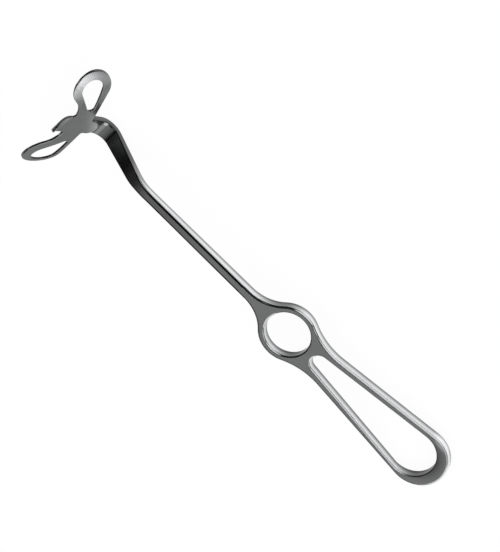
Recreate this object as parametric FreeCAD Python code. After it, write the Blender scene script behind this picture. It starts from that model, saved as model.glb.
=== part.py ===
"""Hand retractor with a ring and loop grip, a kinked shaft and a three-lobed hook blade.

Frame: origin at the centre of the finger ring, X towards the blade, Z towards the hook side,
Y across the grip.  All sizes are in millimetres.  Each piece is written to parts/NAME.step.
"""
import FreeCAD, Part
import math
import os

V = FreeCAD.Vector

# Grip forging: finger ring, waist and open loop.
GRIP_THICKNESS = 5.7
RING_BORE_RADIUS = 11.15
RING_OUTER_RADIUS = 14.5
NECK_FILLET_RADIUS = 20.0
WAIST_RADIUS = 34.0
WAIST_HALF_WIDTH = 8.7
WAIST_SET_OFF = 0.45
LOOP_END_RADIUS = 14.9
LOOP_END_X = -83.0
LOOP_SET_OFF = 1.6
OPENING_END_RADIUS = 11.75
OPENING_END_X = -79.6
OPENING_SET_OFF = 1.1
OPENING_APEX_RADIUS = 4.5
OPENING_APEX_X = -20.4
OPENING_APEX_SET_OFF = 0.45
OUTER_EDGE_ROUND = 1.5
INNER_EDGE_ROUND = 1.1

# Shaft bar and the strap that it is forged into.
SHAFT_HALF_WIDTH = 2.6
STUB_END_X = 30.0
WELD_LENGTH = 1.2
SHAFT_START_X = STUB_END_X + WELD_LENGTH
KINK_X = 90.0
KINK_THICKNESS = 4.6
KINK_FRONT_RADIUS = 23.0
KINK_ANGLE = math.radians(33.2)
STRAP_THICK_AT_KINK = 3.9
STRAP_THICK_AT_BEND = 2.7
STRAP_THICK_AT_END = 2.2
STRAP_RUN = 33.1
BEND_FRONT_RADIUS = 6.6
FLARE_RADIUS = 120.0
FLARE_END_HALF_WIDTH = 5.45
FLARE_PAST_BLADE = 6.0
STRAP_EDGE_ROUND = 0.6
EDGE_BLEND_X = 97.0
STRAP_END_ALONG = -1.0

# Blade: one sheet with a tongue, a root tab and two windowed wings.
SHEET = 1.3
BLADE_ABOVE_BEND = 18.7
BLADE_ANGLE = math.radians(53.0)
TAB_HALF_WIDTH = 4.2
TAB_REACH = 11.4
TONGUE_HALF_WIDTH = 5.3
TONGUE_REACH = 17.9
TONGUE_TAPER_START = 8.0
TONGUE_TIP_RADIUS = 2.6
TONGUE_BEND_START = 7.2
TONGUE_BEND_RADIUS = 12.9
WING_ROOT = 2.75
WING_ROOT_HALF = 5.2
TONGUE_SIDE_SWELL_RADIUS = 11.5
SHAFT_SIDE_SWELL_RADIUS = 70.0
WING_BEND_START = 5.3
NEAR_WING = {
    "lift": math.radians(20.1), "bend_radius": 62.0,
    "end": (22.1, 1.85, 9.35), "window_end": (21.8, 1.65, 5.15), "window_root": (9.95, -1.05, 1.8)}
FAR_WING = {
    "lift": math.radians(0.7), "bend_radius": 78.0,
    "end": (19.8, 2.95, 9.7), "window_end": (20.85, 1.2, 6.0), "window_root": (10.2, -1.85, 1.6)}
CROTCH_RADIUS = 1.0
SHEET_EDGE_ROUND = 0.3

# Braze fillet round the tab.
BRAZE_WIDTH = 0.35
BRAZE_TOP_WIDTH = 0.06
BRAZE_HEIGHT = 0.55
BRAZE_END_ALONG = -6.6

# Reach of the trimming solids past the metal, on each side.
TRIM_REACH = 40.0


def line(a, b):
    """Straight edge from a to b."""
    return Part.LineSegment(a, b).toShape()


def arc(a, centre, b):
    """Edge of less than half a turn from a to b about the centre."""
    radius = (a - centre).Length
    middle = (a - centre) + (b - centre)
    return Part.Arc(a, centre + middle.normalize() * radius, b).toShape()


def face(edges):
    """Flat face inside the loop that the edges form."""
    return Part.Face(Part.Wire(Part.__sortEdges__(edges)))


def meet(p, d, q, e):
    """Point where the line through p along d meets the line through q along e, in the XY sense."""
    t = ((q.x - p.x) * e.y - (q.y - p.y) * e.x) / (d.x * e.y - d.y * e.x)
    return p + d * t


def rounded_loop(corners):
    """Closed face through (point, radius) corners, each corner rounded with its radius."""
    starts, ends, edges = [], [], []
    count = len(corners)
    for i, (corner, radius) in enumerate(corners):
        to_previous = (corners[i - 1][0] - corner).normalize()
        to_next = (corners[(i + 1) % count][0] - corner).normalize()
        half = to_previous.getAngle(to_next) / 2
        reach = radius / math.tan(half)
        starts.append(corner + to_previous * reach)
        ends.append(corner + to_next * reach)
        if radius > 0:
            centre = corner + (to_previous + to_next).normalize() * (radius / math.sin(half))
            edges.append(arc(starts[i], centre, ends[i]))
    for i in range(count):
        edges.append(line(ends[i], starts[(i + 1) % count]))
    return face(edges)


def hull_of_circles(x0, y0, r0, x1, y1, r1):
    """Face bounded by two circles and their outer tangents."""
    along = V(x1 - x0, y1 - y0, 0)
    distance = along.Length
    along.normalize()
    across = V(-along.y, along.x, 0)
    lean = (r0 - r1) / distance
    rise = math.sqrt(1 - lean * lean)
    c0, c1 = V(x0, y0, 0), V(x1, y1, 0)
    up, down = along * lean + across * rise, along * lean - across * rise
    return face([
        line(c0 + up * r0, c1 + up * r1), arc(c1 + up * r1, c1, c1 + along * r1),
        arc(c1 + along * r1, c1, c1 + down * r1), line(c1 + down * r1, c0 + down * r0),
        arc(c0 + down * r0, c0, c0 - along * r0), arc(c0 - along * r0, c0, c0 + up * r0)])


def towards(a, b, distance):
    """Point at the distance from a on the way to b."""
    return a + (b - a).normalize() * distance


def rim_edges(solid, height, keep):
    """Edges that lie in the planes z = +-height and pass the keep test on their mid point."""
    found = []
    for edge in solid.Edges:
        box = edge.BoundBox
        flat = box.ZLength < 1e-6 and abs(abs(box.ZMin) - height) < 1e-6
        if flat and keep(edge.valueAt((edge.FirstParameter + edge.LastParameter) / 2)):
            found.append(edge)
    return found


def grip_side(side):
    """Outline of one side of the grip, from the stub to the loop's far end; side is 1 or -1."""
    fillet_y = SHAFT_HALF_WIDTH + NECK_FILLET_RADIUS
    fillet = V(math.sqrt((RING_OUTER_RADIUS + NECK_FILLET_RADIUS) ** 2 - fillet_y ** 2), fillet_y, 0)
    waist_y = WAIST_HALF_WIDTH - side * WAIST_SET_OFF + WAIST_RADIUS
    waist = V(-math.sqrt((RING_OUTER_RADIUS + WAIST_RADIUS) ** 2 - waist_y ** 2), waist_y, 0)
    end = V(LOOP_END_X, -side * LOOP_SET_OFF, 0)
    span = waist - end
    slope = math.atan2(span.x, span.y) - math.acos((WAIST_RADIUS + LOOP_END_RADIUS) / span.Length)
    outward = V(math.sin(slope), math.cos(slope), 0)
    ring = V(0, 0, 0)
    ring_front = towards(ring, fillet, RING_OUTER_RADIUS)
    ring_back = towards(ring, waist, RING_OUTER_RADIUS)
    stub = V(STUB_END_X, SHAFT_HALF_WIDTH, 0)
    shaft_side = V(fillet.x, SHAFT_HALF_WIDTH, 0)
    arm_start = waist - outward * WAIST_RADIUS
    arm_end = end + outward * LOOP_END_RADIUS
    edges = [
        line(stub, shaft_side), arc(shaft_side, fillet, ring_front), arc(ring_front, ring, ring_back),
        arc(ring_back, waist, arm_start), line(arm_start, arm_end),
        arc(arm_end, end, end - V(LOOP_END_RADIUS, 0, 0))]
    if side > 0:
        return edges
    return [edge.mirror(V(0, 0, 0), V(0, 1, 0)) for edge in edges]


def grip_outline():
    """Outer outline of the grip as tangent arcs and lines."""
    stub = line(V(STUB_END_X, SHAFT_HALF_WIDTH, 0), V(STUB_END_X, -SHAFT_HALF_WIDTH, 0))
    return face(grip_side(1) + grip_side(-1) + [stub])


def grip():
    """Drop-forged grip: finger ring, waist, open loop and the stub that the shaft is welded to."""
    half = GRIP_THICKNESS / 2
    up = V(0, 0, GRIP_THICKNESS)
    base = grip_outline()
    base.translate(V(0, 0, -half))
    blank = base.extrude(up)
    rims = rim_edges(blank, half, lambda p: p.x < STUB_END_X - 1e-3)
    body = blank.makeFillet(OUTER_EDGE_ROUND, rims)
    bore = Part.Face(Part.Wire(Part.makeCircle(RING_BORE_RADIUS, V(0, 0, -half))))
    opening = hull_of_circles(OPENING_END_X, -OPENING_SET_OFF, OPENING_END_RADIUS,
                              OPENING_APEX_X, -OPENING_APEX_SET_OFF, OPENING_APEX_RADIUS)
    opening.translate(V(0, 0, -half))
    cuts = [bore, opening]
    for cut in cuts:
        body = body.cut(cut.extrude(up))

    def on_a_cut(p):
        foot = Part.Vertex(V(p.x, p.y, -half))
        return any(foot.distToShape(cut.OuterWire)[0] < 1e-3 for cut in cuts)

    return body.makeFillet(INNER_EDGE_ROUND, rim_edges(body, half, on_a_cut))


def blade_axes():
    """Unit vectors of the blade sheet: along its profile and towards the handle."""
    along = V(math.cos(BLADE_ANGLE), 0, math.sin(BLADE_ANGLE))
    facing = V(-math.sin(BLADE_ANGLE), 0, math.cos(BLADE_ANGLE))
    return along, facing


def shaft_thickness(x):
    """Thickness of the bar, which tapers evenly from the stub to the kink."""
    share = (x - STUB_END_X) / (KINK_X - STUB_END_X)
    return GRIP_THICKNESS + (KINK_THICKNESS - GRIP_THICKNESS) * share


def strap_front():
    """Front corners of bar and strap, at start, kink and bend, in the side view drawn in XY."""
    top = V(SHAFT_START_X, shaft_thickness(SHAFT_START_X) / 2, 0)
    kink = V(KINK_X, KINK_THICKNESS / 2, 0)
    bar_run = (kink - top).normalize()
    reach = KINK_FRONT_RADIUS * math.tan((KINK_ANGLE + math.atan2(bar_run.y, bar_run.x)) / 2)
    front_kink = kink + bar_run * reach
    down_run = V(math.cos(KINK_ANGLE), -math.sin(KINK_ANGLE), 0)
    return top, front_kink, front_kink + down_run * STRAP_RUN


def blade_centre():
    """Centre of the blade's front face, above the bend of the strap that carries it."""
    along, facing = blade_axes()
    bend = strap_front()[2]
    return V(bend.x, 0, bend.y) + along * BLADE_ABOVE_BEND + facing * SHEET


def strap_profile():
    """Side profile of bar and strap, drawn in XY and turned into the XZ plane by the caller."""
    along, facing = blade_axes()
    top, front_kink, front_bend = strap_front()
    bar_run = (front_kink - top).normalize()
    down_run = (front_bend - front_kink).normalize()
    down_back = V(down_run.y, -down_run.x, 0)
    up_run = V(along.x, along.z, 0)
    up_back = V(-facing.x, -facing.z, 0)
    front_end = front_bend + up_run * (BLADE_ABOVE_BEND + STRAP_END_ALONG)
    back_end = front_end + up_back * STRAP_THICK_AT_END
    low = V(SHAFT_START_X, -top.y, 0)
    low_run = V(bar_run.x, -bar_run.y, 0)
    near_kink = front_kink + down_back * STRAP_THICK_AT_KINK
    near_bend = front_bend + down_back * STRAP_THICK_AT_BEND
    back_run = near_bend - near_kink
    bend_up = front_bend + up_back * STRAP_THICK_AT_BEND
    end_run = back_end - bend_up
    back_kink = meet(low, low_run, near_kink, back_run)
    back_bend = meet(near_kink, back_run, bend_up, end_run)
    return rounded_loop([
        (top, 0), (front_kink, KINK_FRONT_RADIUS), (front_bend, BEND_FRONT_RADIUS), (front_end, 0),
        (back_end, 0), (back_bend, BEND_FRONT_RADIUS + STRAP_THICK_AT_BEND),
        (back_kink, KINK_FRONT_RADIUS - STRAP_THICK_AT_KINK), (low, 0)])


def strap_plan():
    """Plan view of bar and strap: parallel bar, then an even flare."""
    flare = V(KINK_X, SHAFT_HALF_WIDTH, 0)
    tip = V(blade_centre().x + FLARE_PAST_BLADE, FLARE_END_HALF_WIDTH, 0)
    return rounded_loop([
        (V(SHAFT_START_X, -SHAFT_HALF_WIDTH, 0), 0), (V(flare.x, -flare.y, 0), FLARE_RADIUS),
        (V(tip.x, -tip.y, 0), 0), (tip, 0), (flare, FLARE_RADIUS),
        (V(SHAFT_START_X, SHAFT_HALF_WIDTH, 0), 0)])


def shaft():
    """Bar that is kinked and flattened into the strap under the blade."""
    side = strap_profile()
    side.rotate(V(0, 0, 0), V(1, 0, 0), 90)
    side.translate(V(0, TRIM_REACH, 0))
    profile = side.extrude(V(0, -2 * TRIM_REACH, 0))
    body = profile.common(prism(strap_plan())).removeSplitter()
    while True:
        sharp = [edge for edge in body.Edges
                 if edge.BoundBox.XMin < EDGE_BLEND_X < edge.BoundBox.XMax and is_sharp(body, edge)]
        if not sharp:
            return body
        body = round_towards_strap(body, sharp[0])


def round_towards_strap(body, edge):
    """Rounds the long edge that runs on from this one: as the grip before it, less and less along
    it, and as the strap after it."""
    radii = [OUTER_EDGE_ROUND, STRAP_EDGE_ROUND]
    if edge.firstVertex().Point.x > edge.lastVertex().Point.x:
        radii.reverse()
    return body.makeFillet(*radii, [edge])


def shaft_weld():
    """Butt weld between stub and bar, dressed flush with both."""
    def section(x):
        half = shaft_thickness(x) / 2
        flat = rounded_loop([(V(sy * SHAFT_HALF_WIDTH, sz * half, 0), OUTER_EDGE_ROUND)
                             for sy, sz in ((-1, -1), (1, -1), (1, 1), (-1, 1))])
        wire = flat.OuterWire
        wire.Placement = FreeCAD.Placement(V(x, 0, 0), FreeCAD.Rotation(V(0, 1, 0), V(0, 0, 1), V(1, 0, 0), "XYZ"))
        return wire
    return Part.makeLoft([section(STUB_END_X), section(SHAFT_START_X)], True, True)


def bent_sheet(start, flat_to, radius, reach, towards_front):
    """Sheet in the XZ plane, flat from start to flat_to and bent with the radius up to reach."""
    sign = 1 if towards_front else -1
    centre = V(flat_to, 0, sign * radius)
    back_radius = radius + sign * SHEET
    turn = math.asin((reach - flat_to) / radius)

    def on(r):
        return centre + V(math.sin(turn) * r, 0, -sign * math.cos(turn) * r)

    edges = [
        line(V(start, 0, 0), V(flat_to, 0, 0)), arc(V(flat_to, 0, 0), centre, on(radius)),
        line(on(radius), on(back_radius)), arc(on(back_radius), centre, V(flat_to, 0, -SHEET)),
        line(V(flat_to, 0, -SHEET), V(start, 0, -SHEET)), line(V(start, 0, -SHEET), V(start, 0, 0))]
    strip = face(edges).extrude(V(0, 2 * TRIM_REACH, 0))
    strip.translate(V(0, -TRIM_REACH, 0))
    return strip


def prism(flat):
    """Tall prism over a flat outline, used to trim strap and sheet."""
    tall = flat.extrude(V(0, 0, 2 * TRIM_REACH))
    tall.translate(V(0, 0, -TRIM_REACH))
    return tall


def wing(lift, bend_radius, end, window_end, window_root):
    """One windowed wing, leaving the root towards +X in the sheet's own frame.

    The wing's end and the window's two ends are (x, y, radius) circles in the wing's own plan."""
    end_x, end_y, end_radius = end
    tip = V(end_x, end_y, 0)
    start = -WING_ROOT - SHEET
    edges = [line(V(start, WING_ROOT_HALF, 0), V(start, -WING_ROOT_HALF, 0))]
    for side, swell_radius in ((1, TONGUE_SIDE_SWELL_RADIUS), (-1, SHAFT_SIDE_SWELL_RADIUS)):
        root_y = side * WING_ROOT_HALF
        swell_y = root_y + side * swell_radius
        swell_x = end_x - math.sqrt((swell_radius + end_radius) ** 2 - (swell_y - end_y) ** 2)
        swell = V(swell_x, swell_y, 0)
        leave = V(swell_x, root_y, 0)
        join = towards(tip, swell, end_radius)
        edges += [line(V(start, root_y, 0), leave), arc(leave, swell, join),
                  arc(join, tip, tip + V(end_radius, 0, 0))]
    sheet = bent_sheet(start, WING_BEND_START, bend_radius, end_x + end_radius + SHEET, False)
    petal = sheet.common(prism(face(edges))).cut(prism(hull_of_circles(*window_root, *window_end)))
    petal.rotate(V(0, 0, 0), V(0, 0, 1), math.degrees(lift))
    petal.translate(V(WING_ROOT, 0, 0))
    return petal


def tongue_and_tab():
    """Middle of the sheet: the hook tongue and the rounded tab that lies on the strap."""
    centre_y = TONGUE_REACH - TONGUE_TIP_RADIUS
    rise = centre_y - TONGUE_TAPER_START
    side_radius = ((TONGUE_HALF_WIDTH ** 2 + rise ** 2 - TONGUE_TIP_RADIUS ** 2)
                   / (2 * (TONGUE_HALF_WIDTH - TONGUE_TIP_RADIUS)))
    tip = V(0, centre_y, 0)
    edges = []
    for side in (1, -1):
        bulge = V(side * (TONGUE_HALF_WIDTH - side_radius), TONGUE_TAPER_START, 0)
        shoulder = V(side * TONGUE_HALF_WIDTH, TONGUE_TAPER_START, 0)
        join = towards(tip, bulge, -TONGUE_TIP_RADIUS)
        edges += [line(V(side * TONGUE_HALF_WIDTH, 0, 0), shoulder), arc(shoulder, bulge, join),
                  arc(join, tip, V(0, TONGUE_REACH, 0))]
    edges.append(line(V(-TONGUE_HALF_WIDTH, 0, 0), V(TONGUE_HALF_WIDTH, 0, 0)))
    tongue = face(edges)
    tab = tab_outline(TAB_HALF_WIDTH, 1.0)
    sheet = bent_sheet(-TAB_REACH - SHEET, TONGUE_BEND_START, TONGUE_BEND_RADIUS, TONGUE_REACH, True)
    sheet.rotate(V(0, 0, 0), V(0, 0, 1), 90)
    middle = sheet.common(prism(tongue))
    return middle.fuse(sheet.common(prism(tab)))


def tab_outline(half, top):
    """Tab with a half-round end, drawn from the height top downwards."""
    centre = V(0, TAB_HALF_WIDTH - TAB_REACH, 0)
    right, left = centre + V(half, 0, 0), centre - V(half, 0, 0)
    low = centre - V(0, half, 0)
    return face([line(V(half, top, 0), right), arc(right, centre, low), arc(low, centre, left),
                 line(left, V(-half, top, 0)), line(V(-half, top, 0), V(half, top, 0))])


def to_blade(shape):
    """Moves a shape from the sheet's own frame (X across, Y along, Z to the handle) into place."""
    along, facing = blade_axes()
    turn = FreeCAD.Rotation(V(0, -1, 0), along, facing, "XYZ")
    moved = shape.copy()
    moved.Placement = FreeCAD.Placement(blade_centre(), turn).multiply(moved.Placement)
    return moved


def is_upright(edge):
    """True for edges that run straight through the sheet in its own frame."""
    return edge.BoundBox.XLength < 1e-4 and edge.BoundBox.YLength < 1e-4


def is_sharp(solid, edge):
    """True if the two faces at the edge meet at a clear angle."""
    middle = edge.valueAt((edge.FirstParameter + edge.LastParameter) / 2)
    normals = []
    for side in solid.Faces:
        if any(edge.isSame(other) for other in side.Edges):
            normals.append(side.normalAt(*side.Surface.parameter(middle)))
    return len(normals) == 2 and math.degrees(normals[0].getAngle(normals[1])) > 15


def sheet_rims(solid):
    """Sharp edges along the front and back outlines of the sheet, not those through it."""
    rims = []
    for edge in solid.Edges:
        heading = edge.tangentAt((edge.FirstParameter + edge.LastParameter) / 2)
        if abs(heading.z) < 0.75 and is_sharp(solid, edge):
            rims.append(edge)
    return rims


def blade():
    """Stamped sheet blade: tongue, tab and two wings in one piece."""
    near = wing(**NEAR_WING)
    far = wing(**FAR_WING).mirror(V(0, 0, 0), V(1, 0, 0))
    sheet = tongue_and_tab().fuse([near, far]).removeSplitter()
    corners = [edge for edge in sheet.Edges if is_upright(edge) and is_sharp(sheet, edge)]
    sheet = sheet.makeFillet(CROTCH_RADIUS, corners)
    return to_blade(sheet.makeFillet(SHEET_EDGE_ROUND, sheet_rims(sheet)))


def blade_braze():
    """Braze fillet that follows the tab on the strap's face."""
    low = tab_outline(TAB_HALF_WIDTH + BRAZE_WIDTH, 1.0).OuterWire
    high = tab_outline(TAB_HALF_WIDTH + BRAZE_TOP_WIDTH, 1.0).OuterWire
    low.translate(V(0, 0, -SHEET))
    high.translate(V(0, 0, BRAZE_HEIGHT - SHEET))
    bead = Part.makeLoft([low, high], True, True).cut(prism(tab_outline(TAB_HALF_WIDTH, 2.0)))
    span = 2 * TRIM_REACH
    below = Part.makeBox(span, span, span, V(-TRIM_REACH, BRAZE_END_ALONG - span, -TRIM_REACH))
    return to_blade(bead.common(below))


def main():
    os.makedirs("parts", exist_ok=True)
    for build in (grip, shaft_weld, shaft, blade, blade_braze):
        shape = build()
        solids = shape.Solids
        if len(solids) != 1 or not shape.isValid():
            print("check", build.__name__, "solids", len(solids), "valid", shape.isValid())
        solids[0].exportStep("parts/%s.step" % build.__name__)
        box = solids[0].BoundBox
        print(build.__name__, "volume %.1f" % solids[0].Volume,
              "X %.1f..%.1f Y %.1f..%.1f Z %.1f..%.1f"
              % (box.XMin, box.XMax, box.YMin, box.YMax, box.ZMin, box.ZMax))


main()
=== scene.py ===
"""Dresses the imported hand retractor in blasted, polished and satin steel and silver braze."""

import logging
import math
from dataclasses import dataclass
from enum import Enum
from typing import Any

import bpy
from mathutils import Matrix, Vector

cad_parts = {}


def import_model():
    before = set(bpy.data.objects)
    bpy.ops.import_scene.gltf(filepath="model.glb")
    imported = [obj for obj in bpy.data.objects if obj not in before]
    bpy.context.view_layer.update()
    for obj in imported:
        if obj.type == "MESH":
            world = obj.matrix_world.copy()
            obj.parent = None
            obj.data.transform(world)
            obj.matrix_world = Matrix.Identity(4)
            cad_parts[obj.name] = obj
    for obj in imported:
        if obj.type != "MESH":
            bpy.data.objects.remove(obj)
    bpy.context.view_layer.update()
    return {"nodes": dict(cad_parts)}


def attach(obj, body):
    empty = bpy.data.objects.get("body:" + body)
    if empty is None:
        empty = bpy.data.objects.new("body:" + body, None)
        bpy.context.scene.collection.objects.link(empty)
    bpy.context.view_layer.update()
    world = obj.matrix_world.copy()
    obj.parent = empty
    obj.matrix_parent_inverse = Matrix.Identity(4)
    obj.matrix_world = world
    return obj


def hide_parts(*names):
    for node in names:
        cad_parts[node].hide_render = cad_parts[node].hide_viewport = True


log = logging.getLogger("retractor")

Triple = tuple[float, float, float]
Span = tuple[float, float]

WHITE = (1.0, 1.0, 1.0, 1.0)
BLACK = (0.0, 0.0, 0.0, 1.0)
NOISE_AVERAGE = 0.5


class Operation(Enum):
    """Operations of the Math and Vector Math nodes that the finishes use."""

    ADD = "ADD"
    SUBTRACT = "SUBTRACT"
    MULTIPLY = "MULTIPLY"
    ABSOLUTE = "ABSOLUTE"
    LENGTH = "LENGTH"


class Axis(Enum):
    """Direction that a brushed grain runs along, as its stretch in x, y and z."""

    NONE = (1.0, 1.0, 1.0)
    ALONG = (0.06, 1.0, 1.0)


class Shader:
    """A material or world tree and the one way to add a node to it."""

    def __init__(self, tree: bpy.types.NodeTree) -> None:
        """Empties the tree.

        Args:
            tree: The node tree to fill.
        """
        self.tree = tree
        tree.nodes.clear()

    def node(self, kind: str, settings: dict[str, Any] | None = None,
             inputs: dict[Any, Any] | None = None) -> bpy.types.Node:
        """Adds one node.

        Args:
            kind: The node's type.
            settings: Attributes that are set before the sockets are touched.
            inputs: Values or links of its sockets, by name or index.

        Returns:
            The new node.
        """
        made = self.tree.nodes.new(kind)
        for name, value in (settings or {}).items():
            setattr(made, name, value)
        for key, value in (inputs or {}).items():
            socket = made.inputs[key]
            if isinstance(value, Value):
                value = value.socket
            if isinstance(value, bpy.types.NodeSocket):
                self.tree.links.new(value, socket)
            else:
                socket.default_value = value
        return made

    def value(self, made: bpy.types.Node, output: str | int = 0) -> "Value":
        """Wraps an output of a node for arithmetic.

        Args:
            made: The node.
            output: The output's name or index.

        Returns:
            The output as a value.
        """
        return Value(self, made.outputs[output])

    def mix(self, share: Any, low: Any, high: Any) -> bpy.types.NodeSocket:
        """Mixes two colours.

        Args:
            share: The share of the high colour.
            low: The colour where the share is 0.
            high: The colour where the share is 1.

        Returns:
            The mixed colour's socket.
        """
        made = self.node("ShaderNodeMix", {"data_type": "RGBA"}, {0: share, 6: low, 7: high})
        return made.outputs[2]

    def vector(self, operation: Operation, first: Any, second: Any) -> bpy.types.NodeSocket:
        """Adds one Vector Math node.

        Args:
            operation: What it does.
            first: Its first vector.
            second: Its second vector.

        Returns:
            The resulting vector's socket.
        """
        settings = {"operation": operation.value}
        return self.node("ShaderNodeVectorMath", settings, {0: first, 1: second}).outputs[0]

    def length(self, vector: Any) -> "Value":
        """Measures a vector.

        Args:
            vector: The vector's socket.

        Returns:
            Its length.
        """
        settings = {"operation": Operation.LENGTH.value}
        return self.value(self.node("ShaderNodeVectorMath", settings, {0: vector}), "Value")

    def parts(self, vector: Any) -> tuple["Value", "Value", "Value"]:
        """Takes a vector apart.

        Args:
            vector: The vector's socket.

        Returns:
            Its x, y and z.
        """
        made = self.node("ShaderNodeSeparateXYZ", inputs={0: vector})
        return self.value(made, "X"), self.value(made, "Y"), self.value(made, "Z")

    def noise(self, place: Any, scale: float, detail: float) -> "Value":
        """Adds a noise texture.

        Args:
            place: The coordinates that it reads.
            scale: Its scale per metre.
            detail: Its octaves.

        Returns:
            Its value, about 0 on average.
        """
        inputs = {"Vector": place, "Scale": scale, "Detail": detail}
        return self.value(self.node("ShaderNodeTexNoise", inputs=inputs)) - NOISE_AVERAGE


class Value:
    """A number in a shader tree; an expression on it adds Math nodes."""

    def __init__(self, shader: Shader, socket: bpy.types.NodeSocket) -> None:
        """Keeps the socket and the tree that it is in."""
        self.shader = shader
        self.socket = socket

    def _math(self, operation: Operation, first: Any, second: Any = 0.0) -> "Value":
        """Adds one Math node.

        Args:
            operation: What it does.
            first: Its first number or value.
            second: Its second number or value.

        Returns:
            The result.
        """
        settings = {"operation": operation.value}
        made = self.shader.node("ShaderNodeMath", settings, {0: first, 1: second})
        return Value(self.shader, made.outputs[0])

    def __add__(self, other: Any) -> "Value":
        """The sum."""
        return self._math(Operation.ADD, self, other)

    __radd__ = __add__

    def __sub__(self, other: Any) -> "Value":
        """The difference."""
        return self._math(Operation.SUBTRACT, self, other)

    def __rsub__(self, other: Any) -> "Value":
        """The difference from a plain number."""
        return self._math(Operation.SUBTRACT, other, self)

    def __mul__(self, other: Any) -> "Value":
        """The product."""
        return self._math(Operation.MULTIPLY, self, other)

    __rmul__ = __mul__

    def __abs__(self) -> "Value":
        """The size without the sign."""
        return self._math(Operation.ABSOLUTE, self)

    def rise(self, low: float, high: float) -> "Value":
        """Smooth step.

        Args:
            low: The value at which the step is 0.
            high: The value at which the step is 1.

        Returns:
            The step, between 0 and 1.
        """
        made = self.shader.node(
            "ShaderNodeMapRange", {"interpolation_type": "SMOOTHSTEP"},
            {"Value": self, "From Min": low, "From Max": high, "To Min": 0.0, "To Max": 1.0})
        return Value(self.shader, made.outputs[0])

    def between(self, low: float, high: float) -> "Value":
        """Turns a share into a number between two others.

        Args:
            low: The number for a share of 0.
            high: The number for a share of 1.

        Returns:
            The number.
        """
        return self * (high - low) + low

    def towards(self, goal: Any, share: "Value") -> "Value":
        """Moves the value towards another one.

        Args:
            goal: The number or value that it reaches at a share of 1.
            share: How far it moves.

        Returns:
            The moved value.
        """
        return self + share * (goal - self)


@dataclass(frozen=True)
class Camera:
    """The photograph's camera: a long lens well above and in front of the near side."""

    right: Triple = (-0.7111, -0.6327, -0.3073)
    up: Triple = (0.6957, -0.5701, -0.4356)
    distance: float = 1.500
    ring_offset: tuple[float, float] = (0.017826, -0.025790)
    pixels_per_metre: float = 2180.0
    long_side_pixels: int = 552
    sensor: float = 36.0
    clip: Span = (0.05, 50.0)

    def place(self) -> None:
        """Adds the camera and makes it the scene's."""
        right = Vector(self.right).normalized()
        up = Vector(self.up)
        up = (up - right * up.dot(right)).normalized()
        back = right.cross(up)
        data = bpy.data.cameras.new("camera")
        data.sensor_width = self.sensor
        data.lens = self.pixels_per_metre * self.distance * self.sensor / self.long_side_pixels
        data.clip_start, data.clip_end = self.clip
        camera = bpy.data.objects.new("camera", data)
        bpy.context.scene.collection.objects.link(camera)
        across, above = self.ring_offset
        spot = back * self.distance - right * across - up * above
        turn = Matrix((right, up, back)).transposed().to_4x4()
        camera.matrix_world = Matrix.Translation(spot) @ turn
        bpy.context.scene.camera = camera


@dataclass(frozen=True)
class Lamp:
    """A soft area lamp that faces the instrument."""

    name: str
    direction: Triple
    distance: float
    size: float
    watts: float

    def hang(self, target: Vector) -> None:
        """Adds the lamp.

        Args:
            target: The point that it faces.
        """
        data = bpy.data.lights.new(self.name, "AREA")
        data.shape = "DISK"
        data.size = self.size
        data.energy = self.watts
        lamp = bpy.data.objects.new(self.name, data)
        bpy.context.scene.collection.objects.link(lamp)
        away = Vector(self.direction).normalized()
        lamp.location = target + away * self.distance
        lamp.rotation_mode = "QUATERNION"
        lamp.rotation_quaternion = away.to_track_quat("Z", "Y")


@dataclass(frozen=True)
class Glow:
    """How much of the floor glows in a reflection, and how brightly."""

    share: float
    level: float


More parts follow.
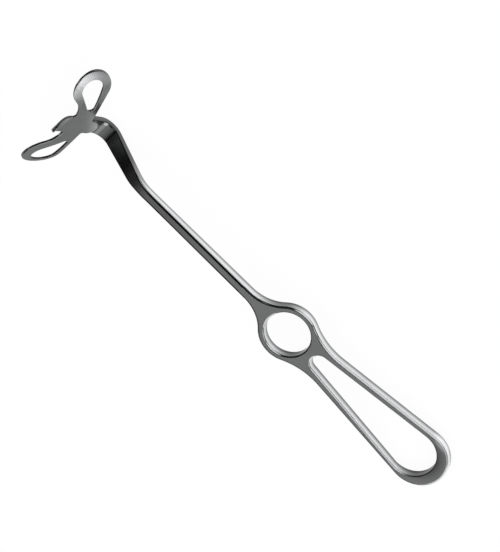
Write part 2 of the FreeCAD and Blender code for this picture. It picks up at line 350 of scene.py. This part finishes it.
@dataclass
class Studio:
    """Pale floor, white surroundings and soft lamps.

    In the polished steel the floor looks bright on the near side and dark past shade_to,
    as pale and dark surroundings would.
    """

    floor_side: float = 6.0
    floor_tone: float = 0.86
    camera_share: float = 0.93
    near_glow: Glow = Glow(share=0.45, level=1.00)
    far_glow: Glow = Glow(share=0.80, level=0.08)
    shade_from: float = 0.000
    shade_to: float = 0.024
    sky_share: float = 0.95
    sky_glossy_share: float = 0.02
    rest_heel: tuple[float, float] = (-0.0965, -0.00285)
    rest_bend: tuple[float, float] = (0.1265, -0.0168)
    aim: Triple = (0.02, 0.0, 0.0)
    lamps: tuple[Lamp, ...] = (
        Lamp("overhead", (-0.10, 0.52, 0.85), 1.2, 1.3, 1.9),
        Lamp("front", (-0.05, -0.76, 0.65), 1.75, 1.98, 7.9),
        Lamp("corner", (-0.72, -0.25, 0.65), 1.2, 0.8, 0.95),
        Lamp("heel", (-0.84, 0.42, 0.36), 1.1, 0.9, 1.8),
        Lamp("side", (-0.99, 0.00, 0.11), 1.1, 0.30, 0.21),
        Lamp("toe", (0.94, 0.28, 0.20), 1.1, 0.25, 0.10),
    )

    def by_ray(self, shader: Shader, camera: float, glossy: Any, diffuse: float = 0.0) -> Value:
        """Picks a number by the kind of ray that meets the surface.

        Args:
            shader: The tree that the nodes go in.
            camera: The number for camera rays.
            glossy: The number or value for glossy and transmitted rays.
            diffuse: The number for diffuse rays.

        Returns:
            The picked number.
        """
        path = shader.node("ShaderNodeLightPath")
        mirror = shader.value(path, "Is Glossy Ray") + shader.value(path, "Is Transmission Ray")
        seen = shader.value(path, "Is Camera Ray") * camera + mirror * glossy
        if diffuse:
            seen = seen + shader.value(path, "Is Diffuse Ray") * diffuse
        return seen

    def paint_floor(self) -> bpy.types.Material:
        """Makes the floor's material.

        Returns:
            The material.
        """
        material = bpy.data.materials.new("pale_floor")
        material.use_nodes = True
        shader = Shader(material.node_tree)
        _, across, _ = shader.parts(shader.node("ShaderNodeTexCoord").outputs["Object"])
        shade = across.rise(self.shade_from, self.shade_to)
        level = self.by_ray(shader, 1.0, shade.between(self.near_glow.level, self.far_glow.level))
        share = self.by_ray(
            shader, self.camera_share, shade.between(self.near_glow.share, self.far_glow.share))
        tone = (self.floor_tone, self.floor_tone, self.floor_tone, 1.0)
        paint = shader.node("ShaderNodeBsdfDiffuse", inputs={"Color": tone})
        glow = shader.node("ShaderNodeEmission", inputs={"Color": WHITE, "Strength": level})
        mixed = shader.node(
            "ShaderNodeMixShader", inputs={0: share, 1: paint.outputs[0], 2: glow.outputs[0]})
        shader.node("ShaderNodeOutputMaterial", inputs={"Surface": mixed.outputs[0]})
        return material

    def lay_floor(self) -> None:
        """Lays the floor under the two places that the instrument rests on."""
        heel_x, heel_z = self.rest_heel
        bend_x, bend_z = self.rest_bend
        slope = math.atan2(bend_z - heel_z, bend_x - heel_x)
        bpy.ops.object.select_all(action="DESELECT")
        bpy.ops.mesh.primitive_plane_add(
            size=self.floor_side, location=((heel_x + bend_x) / 2, 0, (heel_z + bend_z) / 2),
            rotation=(0, -slope, 0))
        floor = bpy.context.object
        floor.name = "floor"
        floor.data.materials.append(self.paint_floor())

    def paint_sky(self) -> None:
        """Makes the surroundings white for the camera and a soft light for the floor."""
        world = bpy.data.worlds.new("surroundings")
        world.use_nodes = True
        bpy.context.scene.world = world
        shader = Shader(world.node_tree)
        share = self.by_ray(shader, 1.0, self.sky_glossy_share, self.sky_share)
        glow = shader.node("ShaderNodeBackground", inputs={"Color": WHITE, "Strength": share})
        shader.node("ShaderNodeOutputWorld", inputs={"Surface": glow.outputs[0]})

    def build(self) -> None:
        """Adds floor, sky, lamps and the view settings."""
        bpy.context.scene.view_settings.view_transform = "Standard"
        self.lay_floor()
        self.paint_sky()
        for lamp in self.lamps:
            lamp.hang(Vector(self.aim))


class Measure(Enum):
    """Part of the surface's normal that tells flats, edges and side walls apart."""

    THICKNESS = "z"
    WIDTH = "y"


@dataclass(frozen=True)
class PaintedLightSpot:
    """A round or oval patch of painted highlight or painted shade on a flat."""

    x: float
    y: float
    half_length: float
    half_width: float
    tone: float
    edge: Span = (0.45, 1.15)

    def share(self, shader: Shader, place: Any) -> Value:
        """Measures where the patch is.

        Args:
            shader: The tree that the nodes go in.
            place: The piece's Object coordinates.

        Returns:
            1 in the patch, falling to 0 round it.
        """
        centred = shader.vector(Operation.SUBTRACT, place, (self.x, self.y, 0.0))
        scale = (1 / self.half_length, 1 / self.half_width, 0.0)
        return 1 - shader.length(shader.vector(Operation.MULTIPLY, centred, scale)).rise(*self.edge)


@dataclass(frozen=True)
class Zones:
    """Splits a piece into flats, rounded edges and side walls by how far its surface turns.

    Each span says where a share rises from 0 to 1: the flat and the painted shade line by the turn
    of the surface, the start of the painted shade line and strap_from by the place along the shaft,
    the painted shade line's outer limit by the distance from the ring's centre, low_wall by the
    depth below the middle of the grip, and towards_blade by how far a wall faces the blade. The
    painted shade line is a dark band of painted shade beside the flats. Each of the three painted
    shades is the share of painted light that a wall loses: on its lower part, where it faces the
    blade, and on the strap.
    """

    measure: Measure
    flat: Span
    painted_shade_line: Span
    painted_shade_line_from: Span = (0.014, 0.020)
    painted_shade_line_outside: Span = (0.0122, 0.0130)
    strap_from: Span = (0.090, 0.108)
    # Shares of painted light that the walls lose as painted shade.
    strap_painted_shade: float = 0.85
    low_wall: Span = (-0.0012, 0.0014)
    low_wall_painted_shade: float = 0.68
    towards_blade: Span = (-0.05, 0.80)
    towards_blade_painted_shade: float = 0.80

    def split(self, shader: Shader, place: Any) -> tuple[Value, Value, Value]:
        """Measures the zones.

        Args:
            shader: The tree that the nodes go in.
            place: The piece's Object coordinates.

        Returns:
            The shares of flat, of the painted shade line beside the flat, and of painted light on
            the sides.
        """
        normal = shader.node("ShaderNodeNewGeometry").outputs["Normal"]
        turn_x, turn_y, turn_z = shader.parts(normal)
        along, _, height = shader.parts(place)
        level = abs(turn_z) if self.measure is Measure.THICKNESS else 1 - abs(turn_y)
        strap = along.rise(*self.strap_from)
        flat = level.rise(*self.flat)
        # Painted shade line: a dark band painted where the flat turns into the wall.
        painted_shade_line = level.rise(*self.painted_shade_line) * along.rise(*self.painted_shade_line_from) * (1 - strap)
        painted_shade_line = painted_shade_line * shader.length(place).rise(*self.painted_shade_line_outside)
        # Painted shade: the walls get darker lower down, where they face the blade and on the
        # strap.
        lower = (height * -1).rise(*self.low_wall) * (1 - strap)
        painted_wall_light = 1 - lower * self.low_wall_painted_shade
        painted_wall_light = painted_wall_light * (1 - turn_x.rise(*self.towards_blade) * self.towards_blade_painted_shade)
        painted_wall_light = painted_wall_light * (1 - strap * self.strap_painted_shade)
        return flat, painted_shade_line, painted_wall_light


@dataclass(frozen=True)
class Steel:
    """Stainless steel: matt flats between polished edges and walls.

    flat, side and the painted shade line's tone are the tones of a piece's flats, walls and the
    dark line of painted shade beside the flats. Along the shaft the flats get painted shade over a
    stretch of the shaft and again on the strap, and the near wing gets a painted highlight, which
    rises with its height. Patches of painted highlight and painted shade lie on some flats. All
    spans are in metres.
    """

    name: str
    flat: float = 0.40
    side: float = 0.86
    painted_shade_line: float = 0.005
    tint: Triple = (0.99, 1.0, 1.01)
    flat_roughness: float = 0.42
    side_roughness: float = 0.14
    worn_roughness: float = 0.30
    strap_roughness: float = 0.42
    strap_from: Span = (0.100, 0.108)
    strap_to: Span = (0.1215, 0.1250)
    strap_shade: float = 0.0
    far_painted_shade_from: Span = (0.030, 0.095)
    far_painted_shade: float = 0.0
    painted_wing_highlight_from: Span = (0.012, 0.018)
    painted_wing_highlight_rise: Span = (0.002, 0.0135)
    painted_wing_highlight: Span | None = None
    painted_light_spots: tuple[PaintedLightSpot, ...] = ()
    worn_x: Span = (-0.050, -0.005)
    cloud_per_metre: float = 70.0
    cloud_detail: float = 3.0
    cloud_tone: float = 0.30
    cloud_roughness: float = 0.08
    grain_per_metre: float = 5200.0
    grain_detail: float = 2.0
    grain_tone: float = 0.16
    grain_depth: float = 0.00001
    grain_strength: float = 0.35
    grain_on_walls: float = 0.2
    grain_run: Axis = Axis.NONE

    def flat_tone(self, along: Value, across: Value, height: Value) -> Value:
        """Works out the tone of the flats, with painted shade and the near wing's painted
        highlight.

        Args:
            along: The place along the shaft.
            across: The place across the grip.
            height: The place along the finger ring's axis.

        Returns:
            The tone of the flats.
        """
        # Painted shade on the strap.
        strap = along.rise(*self.strap_from) * (1 - along.rise(*self.strap_to))
        tone = (1 - strap * self.strap_shade) * self.flat
        # Painted shade that darkens the flats further along the shaft.
        tone = tone * (1 - along.rise(*self.far_painted_shade_from) * self.far_painted_shade)
        # Painted highlight on the near wing, brighter higher up.
        if self.painted_wing_highlight:
            painted_wing_highlight = height.rise(*self.painted_wing_highlight_rise).between(*self.painted_wing_highlight)
            tone = tone.towards(painted_wing_highlight, (across * -1).rise(*self.painted_wing_highlight_from))
        return tone

    def dress(self, zones: Zones) -> bpy.types.Material:
        """Makes the material.

        Args:
            zones: Says where flats, edges and walls are.

        Returns:
            The material.
        """
        material = bpy.data.materials.new(self.name)
        material.use_nodes = True
        shader = Shader(material.node_tree)
        place = shader.node("ShaderNodeTexCoord").outputs["Object"]
        brushed = shader.node(
            "ShaderNodeMapping", inputs={"Vector": place, "Scale": self.grain_run.value})
        along, across, height = shader.parts(place)
        flat, painted_shade_line, painted_wall_light = zones.split(shader, place)
        cloud = shader.noise(place, self.cloud_per_metre, self.cloud_detail)
        grain = shader.noise(brushed.outputs[0], self.grain_per_metre, self.grain_detail)

        # Walls get their painted light and the painted shade line; flats get their own tone below.
        side = (painted_wall_light * self.side).towards(self.painted_shade_line, painted_shade_line)
        tone = side.towards(self.flat_tone(along, across, height), flat)
        # Patches of painted highlight and painted shade.
        for painted_light_spot in self.painted_light_spots:
            reach = painted_light_spot.share(shader, place) * painted_wall_light.towards(1.0, flat)
            tone = tone.towards(painted_light_spot.tone, reach)
        tone = tone * (1 + cloud * self.cloud_tone + grain * self.grain_tone)

        walls = along.rise(*self.worn_x).between(self.worn_roughness, self.side_roughness)
        flats = along.rise(*self.strap_from).between(self.flat_roughness, self.strap_roughness)
        bump = shader.node("ShaderNodeBump", inputs={
            "Strength": self.grain_strength, "Distance": self.grain_depth,
            "Height": grain * flat.between(self.grain_on_walls, 1.0)})
        surface = shader.node("ShaderNodeBsdfPrincipled", inputs={
            "Base Color": shader.mix(tone, BLACK, (*self.tint, 1.0)), "Metallic": 1.0,
            "Roughness": walls.towards(flats, flat) + cloud * self.cloud_roughness,
            "Normal": bump.outputs[0]})
        shader.node("ShaderNodeOutputMaterial", inputs={"Surface": surface.outputs[0]})
        return material


@dataclass
class SubAssembly:
    """Pieces of the instrument that are finished together."""

    crease_angle: float = math.radians(32.0)
    merge_distance: float = 0.000001
    flat_angle: float = math.radians(0.3)

    def refine(self, nodes: dict[str, bpy.types.Object], node: str, slot: str) -> bpy.types.Object:
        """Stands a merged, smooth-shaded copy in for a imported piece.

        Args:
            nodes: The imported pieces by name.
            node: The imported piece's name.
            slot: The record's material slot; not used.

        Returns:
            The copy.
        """
        piece = bpy.data.objects.new(node + "_finished", nodes[node].data.copy())
        bpy.context.scene.collection.objects.link(piece)
        bpy.ops.object.select_all(action="DESELECT")
        piece.select_set(True)
        bpy.context.view_layer.objects.active = piece
        bpy.ops.object.mode_set(mode="EDIT")
        bpy.ops.mesh.select_all(action="SELECT")
        bpy.ops.mesh.remove_doubles(threshold=self.merge_distance)
        bpy.ops.mesh.dissolve_limited(angle_limit=self.flat_angle)
        bpy.ops.object.mode_set(mode="OBJECT")
        bpy.ops.object.shade_smooth_by_angle(angle=self.crease_angle)
        bpy.ops.object.modifier_add(type="WEIGHTED_NORMAL")
        weighted = piece.modifiers[-1]
        weighted.keep_sharp = True
        weighted.mode = "FACE_AREA_WITH_ANGLE"
        bpy.ops.object.modifier_apply(modifier=weighted.name)
        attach(piece, "root")
        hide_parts(node)
        log.info("%s: %d faces", piece.name, len(piece.data.polygons))
        return piece

    def coat(self, piece: bpy.types.Object, material: bpy.types.Material) -> None:
        """Gives a piece its material.

        Args:
            piece: The piece.
            material: The material that covers it.
        """
        piece.data.materials.clear()
        piece.data.materials.append(material)


@dataclass
class Grip(SubAssembly):
    """Drop-forged ring and loop: blasted on the flats, polished on the rims and walls."""

    zones: Zones = Zones(Measure.THICKNESS, flat=(0.94, 0.99), painted_shade_line=(0.55, 0.72))
    steel: Steel = Steel("grip_steel", painted_light_spots=(
        # Painted shade over the loop's end and a painted highlight on its near outer wall.
        PaintedLightSpot(-0.0835, -0.0030, 0.0126, 0.0125, 0.12),
        PaintedLightSpot(-0.0885, -0.0168, 0.0095, 0.0032, 0.95)))

    def build(self, nodes: dict[str, bpy.types.Object]) -> None:
        """Finishes the forging.

        Args:
            nodes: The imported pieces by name.
        """
        self.coat(self.refine(nodes, "grip", "satin_steel"), self.steel.dress(self.zones))


@dataclass
class Shaft(SubAssembly):
    """Bar and strap with the weld that joins the bar to the grip."""

    zones: Zones = Zones(Measure.WIDTH, flat=(0.86, 0.97), painted_shade_line=(0.20, 0.34))
    # The flats get painted shade along the shaft and on the strap.
    steel: Steel = Steel(
        "shaft_steel", far_painted_shade=0.30, strap_roughness=0.24, strap_shade=0.5, grain_run=Axis.ALONG,
        # A painted highlight and a black spot of painted shade by the strap's bend, beside the tab.
        painted_light_spots=(PaintedLightSpot(0.1262, -0.0033, 0.0013, 0.0010, 0.65),
               PaintedLightSpot(0.1236, -0.0044, 0.0017, 0.0015, 0.01)))

    def build(self, nodes: dict[str, bpy.types.Object]) -> None:
        """Finishes weld and shaft.

        Args:
            nodes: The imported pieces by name.
        """
        finish = self.steel.dress(self.zones)
        self.coat(self.refine(nodes, "shaft_weld", "satin_steel"), finish)
        self.coat(self.refine(nodes, "shaft", "satin_steel"), finish)


@dataclass
class HookBlade(SubAssembly):
    """Sheet blade with tongue, tab and two windowed wings, and the braze that holds it."""

    zones: Zones = Zones(Measure.WIDTH, flat=(0.25, 0.55), painted_shade_line=(0.10, 0.20))
    # The near wing carries a painted highlight.
    steel: Steel = Steel(
        "blade_steel", flat=0.55, side=0.7, flat_roughness=0.20, strap_roughness=0.20,
        painted_wing_highlight=(0.32, 1.0))
    silver: Steel = Steel(
        "braze_silver", flat=0.44, side=0.5, flat_roughness=0.26, strap_roughness=0.26)

    def build(self, nodes: dict[str, bpy.types.Object]) -> None:
        """Finishes blade and braze.

        Args:
            nodes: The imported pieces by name.
        """
        self.coat(self.refine(nodes, "blade", "satin_steel"), self.steel.dress(self.zones))
        self.coat(self.refine(nodes, "blade_braze", "braze"), self.silver.dress(self.zones))


def main() -> None:
    """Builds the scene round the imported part."""
    logging.basicConfig(level=logging.INFO, format="%(message)s")
    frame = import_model()
    Camera().place()
    Studio().build()
    for part in (Grip(), Shaft(), HookBlade()):
        part.build(frame["nodes"])


if __name__ == "__main__":
    main()
